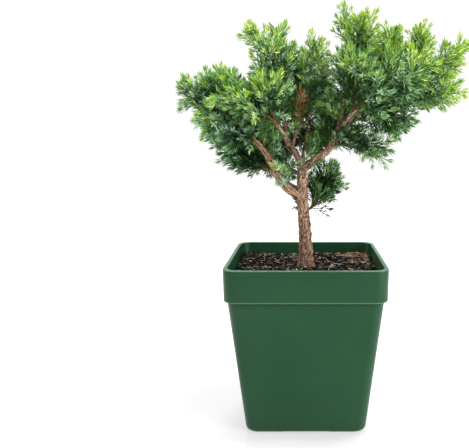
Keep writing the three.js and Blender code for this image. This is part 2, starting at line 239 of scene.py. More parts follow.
plastic = {
    "greens": [(0.3, paint(22, 65, 38)), (0.7, paint(27, 71, 43))],
    # painted highlight: the top of the lip is painted paler
    "lip": {"tint": paint(126, 168, 142), "from": 0.1361, "to": 0.1368, "share": 0.5},
    # painted shade: the body just under the band's overhang is painted darker
    "paintedShadeUnderBand": {"tint": paint(7, 38, 19), "from": 0.107, "to": 0.111, "share": 0.6},
    # painted highlight: a pale line along the band's lower edge
    "bandEdgeHighlight": {"tint": paint(112, 156, 128), "from": 0.1122, "to": 0.1128, "share": 0.35},
    "bandStart": (0.1112, 0.1114),
    "dust": {"tint": paint(120, 128, 104), "top": 0.03, "specks": (0.4, 0.75), "share": 0.14},
}


def moulded():
    # satin green polypropylene: a painted highlight on the lip and on the band's lower edge, painted shade
    # on the body just under the band, a faint ripple, a little dust low down
    look = Look("satinGreenPlastic", IOR=1.46, Specular_IOR_Level=0.22)
    place = look.place()
    cloud = look.grain(place, 18, 4, 0.6)
    speck = look.grain(place, 900, 2, 0.6)
    ripple = look.grain(place, 60, 2, 0.5)
    body = look.ramp(cloud, plastic["greens"])
    height = look.node("SeparateXYZ", inputs={0: place}, output="Z")
    dust, lip, under, edge = [plastic[key] for key in ("dust", "lip", "paintedShadeUnderBand", "bandEdgeHighlight")]
    dusty = look.fade(height, 0, dust["top"], 1, 0) * look.fade(speck, *dust["specks"], 0, dust["share"])
    # painted highlight: the top of the lip is painted paler by height
    body = look.blend(look.fade(height, lip["from"], lip["to"], 0, lip["share"]), body, lip["tint"])
    # painted shade on the body just under the band, where the band overhangs
    shaded = look.fade(height, under["from"], under["to"], 0, under["share"])
    onBand = look.fade(height, *plastic["bandStart"])
    # painted highlight along the band's lower edge
    edgeHighlight = look.fade(height, edge["from"], edge["to"], edge["share"], 0)
    body = look.blend(shaded * (1 - onBand), body, under["tint"])
    body = look.blend(edgeHighlight * onBand, body, edge["tint"])
    look.feed("Base Color", look.blend(dusty, body, dust["tint"]))
    look.feed("Roughness", 0.3 + cloud * 0.1 + dusty * 0.3)
    coarse = look.bumped(ripple, 0.1, 0.001)
    look.feed("Normal", look.bumped(speck, 0.06, 0.0002, coarse))
    return look.material


def peaty():
    # dark damp mix with pale flecks; the hollows of its bump are painted nearly black, a painted shade over
    # its own dark colour
    look = Look("pottingMix", Specular_IOR_Level=0.08)
    place = look.place()
    cloud = look.grain(place, 90, 4, 0.7)
    crumb = look.grain(place, 620, 4, 0.7)
    # painted shade: the lower the bump, the darker the mix
    tint = look.ramp(cloud, [(0.3, paint(7, 6, 5)), (0.55, paint(15, 11, 9)), (0.8, paint(31, 24, 20))])
    fleck = look.fade(crumb, 0.62, 0.72, 0, 0.8)
    look.feed("Base Color", look.blend(fleck, tint, paint(116, 100, 82)))
    look.feed("Roughness", 0.8 + crumb * 0.2)
    look.feed("Normal", look.bumped(crumb, 0.7, 0.0008, look.bumped(cloud, 0.5, 0.002)))
    return look.material


def woody(name, pattern, *tints):
    # bits in the mix, loose bark and stems: three tints, dark to pale, in their own fine grain
    look = Look(name, Specular_IOR_Level=0.12)
    grain = look.grain(look.place(), pattern, 3, 0.6)
    stops = [(spot, paint(*tint)) for spot, tint in zip((0.3, 0.5, 0.75), tints)]
    look.feed("Base Color", look.ramp(grain, stops))
    look.feed("Roughness", 0.7 + grain * 0.25)
    look.feed("Normal", look.bumped(grain, 0.4, 0.0004))
    return look.material


def flakyBark():
    # stringy red-brown bark with pale loose scales and dark cracks, along the limb's own grain
    look = Look("juniperBark", Specular_IOR_Level=0.3)
    along = look.node("Attribute", {"attribute_name": "barkPlace"}, output="Vector")
    strip = look.grain(look.stretched(along, (1, 1, 0.26)), 0.62, 5, 0.65, 0.6)
    scale = look.grain(look.stretched(along, (1, 1, 0.45)), 0.95, 4, 0.65, 0.8)
    crack = look.grain(look.stretched(along, (1, 1, 0.32)), 0.85, 4, 0.65, 0.5)
    tint = look.ramp(strip, [
        (0.32, paint(66, 42, 31)), (0.44, paint(124, 86, 64)), (0.54, paint(184, 146, 118)),
        (0.66, paint(146, 98, 72)),
    ])
    loose = look.fade(scale, 0.53, 0.6, 0, 0.9)
    gap = look.fade(crack, 0.47, 0.4, 0, 0.95)
    tint = look.blend(loose, tint, paint(228, 206, 182))
    look.feed("Base Color", look.blend(gap, tint, paint(30, 19, 14)))
    look.feed("Roughness", 0.75 + strip * 0.2)
    look.feed("Normal", look.bumped(strip + loose * 0.4 - gap * 0.6, 0.8, 0.0009))
    return look.material


def leafy(name, tint):
    # one plain green, a fifth darker and lighter from needle to needle
    look = Look(name, Specular_IOR_Level=0.2)
    cloud = look.grain(look.place(), 420, 2, 0.6)
    darker, lighter = [tuple(min(1, c * share) for c in tint[:3]) + (1,) for share in (0.8, 1.2)]
    look.feed("Base Color", look.ramp(cloud, [(0.35, darker), (0.65, lighter)]))
    look.feed("Roughness", 0.42 + cloud * 0.2)
    return look.material


eye = {"away": 0.5, "height": 0.2369, "pitch": 0.14623, "lens": 45.973, "sideways": -0.1521}

clearSelection()
bpy.ops.object.camera_add(
    location=(0, -eye["away"], eye["height"]),
    rotation=(math.pi / 2 - eye["pitch"], 0, 0),
)
camera = bpy.context.object
camera.data.sensor_width = 36
camera.data.lens = eye["lens"]
camera.data.shift_x = eye["sideways"]
scene.camera = camera

studio = {
    "floor": {"size": 30, "tone": 0.45, "glow": 0.86, "nearGlow": 0.6, "nearShare": 0.7, "narrow": 1.4},
    "dome": {"strength": 0.36, "behind": 1.05},
    "lights": {
        "overhead": {"at": (0.35, 0.05, 1.5), "towards": (0.02, 0, 0.2), "size": 0.45, "power": 25},
        "rightBox": {"at": (1.15, -0.8, 0.5), "towards": (0, 0, 0.14), "size": 1.0, "power": 18},
        "leftBox": {"at": (-1.3, 0.1, 0.5), "towards": (0, 0, 0.15), "size": 0.35, "power": 5},
        "backTop": {"at": (-0.1, 1.3, 1.5), "towards": (0, 0, 0.2), "size": 0.8, "power": 30},
        "frontFill": {"at": (-0.5, -1.5, 0.9), "towards": (0, 0, 0.2), "size": 1.0, "power": 3},
    },
}

# the floor glows less round the plant, so that the plant's shadow shows
paleFloor = studio["floor"]
bpy.ops.mesh.primitive_plane_add(size=paleFloor["size"])
floor = bpy.context.object
floor.name = "floor"
paper = Look("paleFloor", Roughness=0.9, Specular_IOR_Level=0.0)
paper.feed("Base Color", (*[paleFloor["tone"]] * 3, 1))
spread = paper.stretched(paper.place(), [paleFloor["narrow"]] * 3)
nearness = paper.node("TexGradient", {"gradient_type": "SPHERICAL"}, {0: spread})
nearGlow = (*[paleFloor["nearGlow"]] * 3, 1)
glow = paper.ramp(nearness, [(0, (1, 1, 1, 1)), (paleFloor["nearShare"], nearGlow)])
paper.feed("Emission Color", glow)
paper.feed("Emission Strength", paleFloor["glow"])
floor.data.materials.append(paper.material)

for name, lamp in studio["lights"].items():
    aim = Vector(lamp["towards"]) - Vector(lamp["at"])
    clearSelection()
    bpy.ops.object.light_add(
        type="AREA", location=lamp["at"], rotation=aim.to_track_quat("-Z", "Y").to_euler()
    )
    light = bpy.context.object
    light.name = name
    light.data.shape = "DISK"
    light.data.size = lamp["size"]
    light.data.energy = lamp["power"]

world = bpy.data.worlds.new("studioWhite")
world.use_nodes = True
scene.world = world
sky = world.node_tree.nodes["Background"]
sky.inputs["Color"].default_value = (1, 1, 1, 1)
seen = world.node_tree.nodes.new("ShaderNodeLightPath")
strength = world.node_tree.nodes.new("ShaderNodeMapRange")
strength.inputs["To Min"].default_value = studio["dome"]["strength"]
strength.inputs["To Max"].default_value = studio["dome"]["behind"]
world.node_tree.links.new(seen.outputs["Is Camera Ray"], strength.inputs["Value"])
world.node_tree.links.new(strength.outputs[0], sky.inputs["Strength"])
scene.view_settings.view_transform = "Standard"
print("studio ready")


potForm = {
    "height": 0.137,
    "rimHalf": 0.0635,
    "bandHalf": 0.0631,
    "bandBottom": 0.1114,
    "bodyHalf": 0.0607,
    "footHalf": 0.0482,
    "footRound": 0.0045,
    "footCorner": 0.008,
    "lip": 0.0032,
    "wall": 0.0017,
    "floor": 0.0026,
    "waist": 0.06,
    "foldIn": 0.001,
    "edge": 0.0008,
    "sharp": 50,
    "smooth": 35,
    "arch": {"width": 0.038, "height": 0.0014, "depth": 0.007},
    "hole": {"radius": 0.004, "out": 0.026, "depth": 0.02},
}


def makePot():
    form = potForm
    clearSelection()
    half = form["footHalf"] - form["footRound"]
    bpy.ops.mesh.primitive_plane_add(size=2 * half)
    piece = bpy.context.object
    bpy.ops.object.mode_set(mode="EDIT")
    bpy.ops.mesh.select_all(action="SELECT")
    corner = form["footCorner"] * half / form["footHalf"]
    bpy.ops.mesh.bevel(offset=corner, segments=9, affect="VERTICES")
    at = {"half": half, "z": 0}

    def carryOn(toHalf, toHeight):
        # draws the wall on to its next ring
        bpy.ops.mesh.extrude_region_move(TRANSFORM_OT_translate={"value": (0, 0, toHeight - at["z"])})
        share = toHalf / at["half"]
        bpy.ops.transform.resize(value=(share, share, 1), center_override=(0, 0, toHeight))
        at.update(half=toHalf, z=toHeight)

    def bodyHalfAt(z):
        return mix(form["footHalf"], form["bodyHalf"], z / form["bandBottom"])

    for step in range(1, 7):
        angle = step * math.pi / 12
        z = form["footRound"] * (1 - math.cos(angle))
        carryOn(bodyHalfAt(z) - form["footRound"] * (1 - math.sin(angle)), z)
    carryOn(bodyHalfAt(form["waist"]), form["waist"])
    carryOn(form["bodyHalf"], form["bandBottom"])
    carryOn(form["bandHalf"], form["bandBottom"])
    carryOn(form["rimHalf"], form["height"])
    carryOn(form["rimHalf"] - form["lip"], form["height"])
    carryOn(form["bandHalf"] - form["lip"], form["bandBottom"] + form["wall"] + form["lip"])
    carryOn(form["bodyHalf"] - form["wall"], form["bandBottom"] + form["wall"])
    carryOn(bodyHalfAt(form["floor"]) - form["wall"] - form["foldIn"], form["floor"])
    turnOutwards()
    applyModifier(
        piece, "BEVEL", width=form["edge"], segments=4, limit_method="ANGLE",
        angle_limit=math.radians(form["sharp"]),
    )
    cutters = []
    arch = form["arch"]
    for side in (-1, 1):
        for sizes, spot in (
            ((arch["width"], 2 * arch["depth"], 2 * arch["height"]), (0, side * form["footHalf"], 0)),
            ((2 * arch["depth"], arch["width"], 2 * arch["height"]), (side * form["footHalf"], 0, 0)),
        ):
            clearSelection()
            bpy.ops.mesh.primitive_cube_add(size=1, scale=sizes, location=spot)
            cutters.append(bpy.context.object)
    for turn in range(4):
        angle = math.radians(45 + 90 * turn)
        out = form["hole"]["out"]
        clearSelection()
        bpy.ops.mesh.primitive_cylinder_add(
            vertices=32, radius=form["hole"]["radius"], depth=form["hole"]["depth"],
            location=(out * math.cos(angle), out * math.sin(angle), 0),
        )
        cutters.append(bpy.context.object)
    for cutter in cutters:
        applyModifier(piece, "BOOLEAN", object=cutter, operation="DIFFERENCE", solver="EXACT")
        bpy.data.objects.remove(cutter)
    choose(piece)
    bpy.ops.object.shade_smooth_by_angle(angle=math.radians(form["smooth"]))
    return piece


handOver(makePot(), "squarePot", "pot", ["pot"], moulded())


mixForm = {
    "level": 126.2,
    "rise": 1.2,
    "half": 59.1,
    "corner": 8.4,
    "cells": 130,
    "lump": 1.5,
    "thickness": 9,
    "seed": 5,
    "dip": {"depth": 1.1, "from": 0.85, "over": 0.15},
    "soft": {"scale": 0.09, "share": 0.45},
    "crumb": {"scale": 0.38, "share": 0.5},
}
bitRoom = {"trunk": 8, "wall": 57.5, "corner": 109}


def mixHeight(x, y):
    # the mix is a little lower at the trunk and at the wall
    out = max(abs(x), abs(y)) / mixForm["half"]
    dip, wide, fine = mixForm["dip"], mixForm["soft"], mixForm["crumb"]
    swell = mixForm["rise"] * math.sin(math.pi * min(1, out))
    swell -= dip["depth"] * max(0, out - dip["from"]) / dip["over"]
    soft = noise.noise(Vector((x * wide["scale"], y * wide["scale"], 1.7)))
    crumb = noise.noise(Vector((x * fine["scale"], y * fine["scale"], 6.1)))
    crumb += 0.5 * noise.noise(Vector((x, y, 2.2)))
    return mixForm["level"] + swell + mixForm["lump"] * (wide["share"] * soft + fine["share"] * crumb)


def intoPot(x, y):
    # pulls the corners of a square inwards on to the pot's rounded ones
    out = max(abs(x), abs(y))
    if out < 1e-6:
        return x, y
    corner = mixForm["corner"] * out / mixForm["half"]
    inner = out - corner
    if min(abs(x), abs(y)) <= inner:
        return x, y
    a, b = abs(x) / out, abs(y) / out
    k = inner * (a + b)
    length = a * a + b * b
    reach = (k + math.sqrt(k * k - length * (2 * inner * inner - corner * corner))) / length
    return x * reach / out, y * reach / out


def makeMix():
    clearSelection()
    bpy.ops.mesh.primitive_grid_add(
        x_subdivisions=mixForm["cells"], y_subdivisions=mixForm["cells"], size=2 * mixForm["half"] / 1000
    )
    piece = bpy.context.object
    for vertex in piece.data.vertices:
        x, y = intoPot(vertex.co.x * 1000, vertex.co.y * 1000)
        vertex.co = Vector((x, y, mixHeight(x, y))) / 1000
    applyModifier(piece, "SOLIDIFY", thickness=mixForm["thickness"] / 1000, offset=-1)
    for vertex in piece.data.vertices:  # the lower skin stays within the pot's inner wall too
        out = max(abs(vertex.co.x), abs(vertex.co.y))
        vertex.co.xy *= min(1, mixForm["half"] / 1000 / out) if out else 1
    piece.data.polygons.foreach_set("use_smooth", [True] * len(piece.data.polygons))
    return piece


handOver(makeMix(), "mixSurface", "potting_mix", ["potting_mix"], peaty())

lumps = {
    "mixCrumbs": {"count": 2600, "size": (0.8, 2.8), "flat": 0.8, "lift": 0.4, "long": 1.6},
    "barkChips": {"count": 420, "size": (2.2, 5.5), "flat": 0.3, "lift": 0.8, "long": 2.2},
    "paleSplinters": {"count": 130, "size": (1.0, 2.4), "flat": 0.5, "lift": 1.2, "long": 3.4},
    "paleGrains": {"count": 170, "size": (0.7, 1.7), "flat": 0.8, "lift": 1.0, "long": 1.6},
}
fibres = {"count": 120, "length": (3, 10), "radius": 0.32, "lift": 1.3, "curl": 0.7}
clump = {
    "count": 80, "length": (3, 9), "radius": 0.27, "lift": 0.6, "curl": 1.6,
    "at": (43, 37), "spread": (13, 11), "heap": (0.2, 3.2), "heapSpread": 260,
}
fibreTaper = (0.7, 1, 1, 1, 0.9, 0.5)
bitLooks = {
    "mixCrumbs": ("darkCrumb", 260, (6, 5, 5), (14, 11, 9), (38, 30, 25)),
    "barkChips": ("barkChip", 160, (20, 13, 11), (46, 32, 26), (96, 72, 60)),
    "paleSplinters": ("paleSplinter", 220, (98, 86, 74), (168, 154, 136), (220, 210, 194)),
    "paleGrains": ("paleGrain", 260, (168, 160, 146), (206, 200, 188), (230, 226, 216)),
    "mixFibres": ("paleFibre", 120, (104, 90, 70), (166, 148, 122), (216, 202, 178)),
    "fibreClump": ("tanFibre", 150, (128, 94, 66), (186, 148, 110), (222, 194, 158)),
}


def restOn(rand, count, around=None, spread=None):
    # places on the mix, clear of the trunk and the wall
    spots = []
    while len(spots) < count:
        if around:
            x, y = rand.normal(around, spread)
        else:
            x, y = rand.uniform(-bitRoom["wall"], bitRoom["wall"], 2)
        inside = max(abs(x), abs(y)) <= bitRoom["wall"] and abs(x) + abs(y) <= bitRoom["corner"]
        if inside and math.hypot(x, y) >= bitRoom["trunk"]:
            spots.append((x, y, mixHeight(x, y)))
    return np.array(spots)


def pebbles(rand, count, size, flat, lift, long):
    # lumps of twelve corners and twenty faces, each squeezed and turned its own way
    golden = (1 + 5 ** 0.5) / 2
    base = unit([(a, b, 0) for a in (-1, 1) for b in (-golden, golden)]
                + [(0, a, b) for a in (-1, 1) for b in (-golden, golden)]
                + [(b, 0, a) for a in (-1, 1) for b in (-golden, golden)])
    hull = bmesh.new()
    for point in base:
        hull.verts.new(point)
    bmesh.ops.convex_hull(hull, input=hull.verts)
    bmesh.ops.recalc_face_normals(hull, faces=hull.faces)
    hull.verts.index_update()
    faces = np.array([[v.index for v in face.verts] for face in hull.faces])
    base = np.array([v.co for v in hull.verts])
    hull.free()
    spots = restOn(rand, count)
    points = []
    for spot in spots:
        wide = rand.uniform(*size) / 2
        shape = base * rand.uniform(0.75, 1.2, (12, 1)) * (wide * rand.uniform(1, long), wide, wide * flat)
        turn = rand.uniform(0, 2 * math.pi)
        tip, roll = rand.normal(0, 0.3, 2)
        turned = shape @ turnMatrix(turn, tip, roll)
        points.append(turned + spot + (0, 0, wide * flat * lift))
    return joined(points, faces)


def turnMatrix(turn, tip, roll):
    c, s = math.cos(turn), math.sin(turn)
    flat = np.array(((c, s, 0), (-s, c, 0), (0, 0, 1)))
    c, s = math.cos(tip), math.sin(tip)
    nod = np.array(((c, 0, s), (0, 1, 0), (-s, 0, c)))
    c, s = math.cos(roll), math.sin(roll)
    lean = np.array(((1, 0, 0), (0, c, s), (0, -s, c)))
    return lean @ nod @ flat


def joined(points, faces):
    # many copies with the same faces as one list of points and one of faces
    step = len(points[0])
    offsets = np.arange(len(points))[:, None, None] * step
    return np.concatenate(points), (faces[None] + offsets).reshape(-1, faces.shape[1])


def tubes(lines, radii, sides):
    # closed tubes along lines of equal point count, pointed at both ends
    lines = np.asarray(lines, float)
    radii = np.asarray(radii, float)
    count, steps = lines.shape[:2]
    along = unit(np.gradient(lines, axis=1))
    helper = np.where(np.abs(along[..., 2:3]) > 0.9, (1.0, 0, 0), (0, 0, 1.0))
    side = unit(np.cross(along, helper))
    other = np.cross(along, side)
    angle = 2 * math.pi * np.arange(sides) / sides
    ring = (side[:, :, None] * np.cos(angle)[:, None] + other[:, :, None] * np.sin(angle)[:, None])
    body = lines[:, :, None] + ring * radii[:, :, None, None]
    points = body.reshape(count, steps * sides, 3)
    faces = []
    for k in range(steps - 1):
        for i in range(sides):
            a, b = k * sides + i, k * sides + (i + 1) % sides
            faces.append((a, b, b + sides))
            faces.append((a, b + sides, a + sides))
    last = (steps - 1) * sides
    for i in range(1, sides - 1):
        faces.append((0, i + 1, i))
        faces.append((last, last + i, last + i + 1))
    return joined(list(points), np.array(faces))


def threads(rand, spots, form):
    # thin fibres that lie on the mix in bows
    lines = []
    for spot in spots:
        reach = rand.uniform(*form["length"])
        turn = rand.uniform(0, 2 * math.pi)
        bend = rand.normal(0, form["curl"])
        rise = rand.uniform(0, 0.5)
        t = np.linspace(-0.5, 0.5, 6)
        heading = turn + bend * t * 2
        step = np.stack([np.cos(heading), np.sin(heading), rise * (0.25 - t * t) * 3 - 0.1], 1) * reach / 5
        line = np.cumsum(step, 0) - step.sum(0) / 2
        lines.append(line + spot + (0, 0, form["lift"]))
    return tubes(lines, np.tile(fibreTaper, (len(lines), 1)) * form["radius"], 3)


def pieceOf(name, shape, smooth):
    points, faces = shape
    starts = np.arange(len(faces)) * faces.shape[1]
    return meshFrom(name, points / 1000, faces.ravel(), starts, smooth)


rand = np.random.default_rng(mixForm["seed"])
bits = {name: pebbles(rand, **form) for name, form in lumps.items()}
bits["mixFibres"] = threads(rand, restOn(rand, fibres["count"]), fibres)
spots = restOn(rand, clump["count"], clump["at"], clump["spread"])
fromMiddle = ((spots[:, :2] - clump["at"]) ** 2).sum(1)
spots[:, 2] += rand.uniform(*clump["heap"], len(spots)) * np.exp(-fromMiddle / clump["heapSpread"])
bits["fibreClump"] = threads(rand, spots, clump)
for name, shape in bits.items():
    piece = pieceOf(name, shape, name not in ("barkChips", "paleSplinters"))
    handOver(piece, name, "potting_mix", [], woody(*bitLooks[name]))


# each limb: what it grows from, where on it, its radius at both ends, and the points it passes to its tip
limbs = {
    "trunk": (None, 0, (5.3, 3.1), [
        (0, 0, 126.5), (-0.2, 0, 144.4), (-1.4, -1, 166), (-2.7, -0.6, 184.5), (-3.3, 0.4, 200.9),
        (-3.5, 1, 214.2),
    ]),
    "bough_left": ("trunk", 0.6, (3.4, 1.5), [
        (-18.3, -6, 196.9), (-26.3, -9, 211.1), (-33.8, -11, 224.9), (-47.9, -13.5, 240.1),
    ]),
    "bough_left_low": ("trunk", 0.68, (1.9, 1.3), [(-18.4, 8, 198.4), (-30.5, 13, 207.4)]),
    "bough_leader": ("trunk", 0.97, (2.6, 1.4), [(-8.2, 2, 221.9), (-14.9, 2, 230.6), (-18, 0, 250.7)]),
    "bough_centre": ("bough_leader", 0.5, (1.7, 1.1), [(-9.3, 6, 235.9), (-5.2, 10, 248.5)]),
    "bough_right": ("trunk", 0.94, (2.8, 1.9), [(8.2, -2, 218.1), (19.9, -5, 227.2), (28.6, -4, 247.3)]),
    "bough_right_up": ("bough_right", 0.97, (1.7, 1.1), [(29.6, -2.5, 256.5), (31.6, 0, 267.9)]),
    "bough_right_out": ("bough_right", 0.9, (1.7, 1.1), [(44.7, -7, 257.9), (58.9, -7, 265.7)]),
    "bough_low_right": ("trunk", 0.36, (1.5, 1.1), [(0.3, 4, 173.2), (4.5, 8, 176.2)]),
    "bough_back_left": ("bough_leader", 0.35, (1.8, 1.2), [(-15.5, 13, 230.3), (-22.9, 23, 240.3)]),
    "bough_back": ("trunk", 0.99, (1.9, 1.2), [(-1, 13, 225.2), (1, 26, 239.5)]),
    "bough_back_right": ("bough_right", 0.62, (1.8, 1.2), [(27.8, 9, 236.1), (38.5, 22, 247.4)]),
    "bough_front_left": ("bough_leader", 0.5, (1.7, 1.1), [(-18.3, -12, 238.7), (-23.1, -23, 245.8)]),
    "bough_front_right": ("bough_right", 0.8, (1.7, 1.1), [(32.3, -17, 249.3), (39, -27, 257.4)]),
}
rootFlare = {"share": 0.35, "fall": 16}
collar = {"share": 0.3, "length": 2.2}
blunt = {"length": 0.5, "radius": 0.55}
stubs = [
    {"at": 0.5, "turn": 185, "length": 2.8, "radius": 1.5},
    {"at": 0.56, "turn": 170, "length": 2.2, "radius": 1.3},
    {"at": 0.36, "turn": 10, "length": 1.3, "radius": 1.4},
]
stubForm = {"steps": 10, "lift": 0.25, "foot": 1.15, "taper": 0.35, "end": 0.6}
bark = {
    "ring": 0.55, "girth": 0.62,
    "strip": 0.2, "stripScale": (0.75, 0.11), "ridge": 2.4,
    "crumb": 0.11, "crumbScale": (1.7, 0.5),
    "swell": 0.09, "swellScale": (0.12, 0.16), "apart": 3.1,
}
flakes = {
    "count": 420, "long": (1.6, 5.0), "wide": (0.5, 1.1), "lift": (0.1, 0.75), "out": (0.98, 1.1),
    "thick": (0.22, -0.1), "seed": 31, "bow": 0.25,
    "outline": [(-0.5, 0.3, 0), (-0.2, 1, 0.1), (0.25, 0.8, 0.5), (0.5, 0.15, 1)],
    "on": ["trunk"] * 6 + ["bough_left"] * 2 + ["bough_right"] * 2 + ["bough_leader"],
}


class Curve:
    # a smooth line through points, or with three points and bow=True a single bow
    def __init__(self, points, bow=False):
        self.points = np.array(points, float)
        self.bow = bow

    def at(self, t):
        p = self.points
        if self.bow:
            return (1 - t) ** 2 * p[0] + 2 * t * (1 - t) * p[1] + t * t * p[2]
        last = len(p) - 1
        k = min(int(last * t), last - 1)
        w = last * t - k
        before = p[k - 1] if k else 2 * p[0] - p[1]
        after = p[k + 2] if k + 2 <= last else 2 * p[last] - p[last - 1]
        leave, arrive = (p[k + 1] - before) / 2, (after - p[k]) / 2
        bend = 3 * (p[k + 1] - p[k]) - 2 * leave - arrive
        twist = 2 * (p[k] - p[k + 1]) + leave + arrive
        return p[k] + leave * w + bend * w * w + twist * w ** 3

    def heading(self, t):
        a, b = max(0, t - 0.0001), min(1, t + 0.0001)
        return unit(self.at(b) - self.at(a))

    def line(self, count):
        return np.array([self.at(i / count) for i in range(count + 1)])

    def length(self):
        return np.linalg.norm(np.diff(self.line(20), axis=0), axis=1).sum()


def limbRadius(name, t):
    flare = rootFlare["share"] * math.exp(-rootFlare["fall"] * t) if name == "trunk" else 0
    radii = limbs[name][2]
    return mix(*radii, t) * (1 + flare)


curves = {}
for name, (parent, at, _, points) in limbs.items():
    curves[name] = Curve([curves[parent].at(at), *points] if parent else points)


def barkTube(centres, thickness, shift):
    # a tube with ridges that run along it; returns points, faces and each point's place in the grain
    sides = max(10, round(2 * math.pi * max(thickness) / bark["girth"]))
    along = unit(np.gradient(centres, axis=0))
    travelled = np.concatenate([[0], np.cumsum(np.linalg.norm(np.diff(centres, axis=0), axis=1))])
    side = np.array((0.3, 1, 0.2))
    points, places = [], []
    for k, centre in enumerate(centres):
        side = unit(side - along[k] * np.dot(side, along[k]))
        other = np.cross(along[k], side)
        radius = thickness[k]
        for i in range(sides):
            angle = 2 * math.pi * i / sides
            c, s = math.cos(angle), math.sin(angle)
            girth = Vector((c, s, 0)) * radius
            x, y, z = girth.x, girth.y, travelled[k]
            a, b = bark["stripScale"]
            strip = noise.noise(Vector((x * a + shift, y * a, z * b)))
            a, b = bark["crumbScale"]
            crumb = noise.noise(Vector((x * a, y * a + shift, z * b)))
            a, b = bark["swellScale"]
            swell = noise.noise(Vector((x * a, shift, z * b)))
            ridge = 1 - bark["ridge"] * abs(strip)
            out = radius * (1 + bark["strip"] * ridge + bark["crumb"] * crumb + bark["swell"] * swell)
            points.append(centre + (side * c + other * s) * out)
            places.append((x, y, z + shift * 13))
    rings = len(centres)
    faces = []
    for k in range(rings - 1):
        for i in range(sides):
            a, b = k * sides + i, k * sides + (i + 1) % sides
            faces.append((a, b, b + sides, a + sides))
    caps = [list(range(sides))[::-1], [(rings - 1) * sides + i for i in range(sides)]]
    return points, faces + caps, places


def makeLimbs():
    points, faces, places = [], [], []

    def add(tube):
        offset = len(points)
        points.extend(tube[0])
        places.extend(tube[2])
        faces.extend([[i + offset for i in face] for face in tube[1]])

    for number, (name, curve) in enumerate(curves.items()):
        steps = max(8, round(curve.length() / bark["ring"]))
        centres = curve.line(steps)
        thickness = [limbRadius(name, k / steps) for k in range(steps + 1)]
        if name != "trunk":  # a bough starts inside its parent and swells where it joins
            thickness = [r * (1 + collar["share"] * math.exp(-k * bark["ring"] / collar["length"]))
                         for k, r in enumerate(thickness)]
        end = curve.heading(1)
        centres = np.vstack([centres, centres[-1] + end * thickness[-1] * blunt["length"]])
        thickness.append(thickness[-1] * blunt["radius"])
        add(barkTube(centres, thickness, number * bark["apart"]))
    for number, stub in enumerate(stubs):
        centre = curves["trunk"].at(stub["at"])
        turn = math.radians(stub["turn"])
        out = np.array((math.cos(turn), math.sin(turn), stubForm["lift"]))
        reach = limbRadius("trunk", stub["at"]) + stub["length"]
        steps = stubForm["steps"]
        centres = np.array([centre + out * reach * k / steps for k in range(steps + 1)])
        foot, taper = stubForm["foot"], stubForm["taper"]
        thickness = [stub["radius"] * (foot - taper * k / steps) for k in range(steps + 1)]
        thickness[-1] *= stubForm["end"]
        add(barkTube(centres, thickness, 60 + number * 5))
    points = np.array(points)
    for k, point in enumerate(points):  # the trunk stands flat in the mix
        if point[2] < curves["trunk"].points[0, 2] + 0.9:
            points[k, 2] = min(point[2], mixForm["level"] - 0.4)
    sizes = [len(face) for face in faces]
    starts = np.concatenate([[0], np.cumsum(sizes)[:-1]])
    piece = meshFrom("limbs", points / 1000, [i for face in faces for i in face], starts)
    grain = piece.data.attributes.new("barkPlace", "FLOAT_VECTOR", "POINT")
    grain.data.foreach_set("vector", np.asarray(places, np.float32).ravel())
    return piece


def makeFlakes():
    # loose scales that stand a little off the bark
    rand = np.random.default_rng(flakes["seed"])
    points = []
    for _ in range(flakes["count"]):
        name = flakes["on"][rand.integers(len(flakes["on"]))]
        t = rand.uniform(0.02, 0.95)
        centre, along = curves[name].at(t), curves[name].heading(t)
        turn = rand.uniform(0, 2 * math.pi)
        side = unit(np.cross(along, (math.cos(turn), math.sin(turn), 0.1)))
        out = np.cross(side, along)
        long, wide = rand.uniform(*flakes["long"]), rand.uniform(*flakes["wide"])
        radius = limbRadius(name, t) * rand.uniform(*flakes["out"])
        lift = rand.uniform(*flakes["lift"])
        shape = []
        for depth in flakes["thick"]:
            for a, b, c in flakes["outline"]:
                for sign in (-1, 1):
                    curve = -flakes["bow"] * (b * wide) ** 2 / radius
                    place = centre + along * a * long + side * sign * b * wide / 2
                    shape.append(place + out * (radius + curve + c * lift + depth))
        points.append(np.array(shape))
    faces = []
    for a in (0, 2, 4):
        faces += [(a, a + 1, a + 3, a + 2), (a + 8, a + 10, a + 11, a + 9)]
        faces += [(a, a + 2, a + 10, a + 8), (a + 1, a + 9, a + 11, a + 3)]
    faces += [(0, 8, 9, 1), (6, 7, 15, 14)]
    piece = pieceOf("flakes", joined(points, np.array(faces)), False)
    choose(piece)
    bpy.ops.object.mode_set(mode="EDIT")
    turnOutwards()
    return piece


handOver(makeLimbs(), "barkedLimbs", "bark", list(limbs), flakyBark())
flakeLook = woody("looseScale", 180, (92, 62, 44), (150, 116, 88), (198, 168, 138))
handOver(makeFlakes(), "barkFlakes", "bark", [], flakeLook)
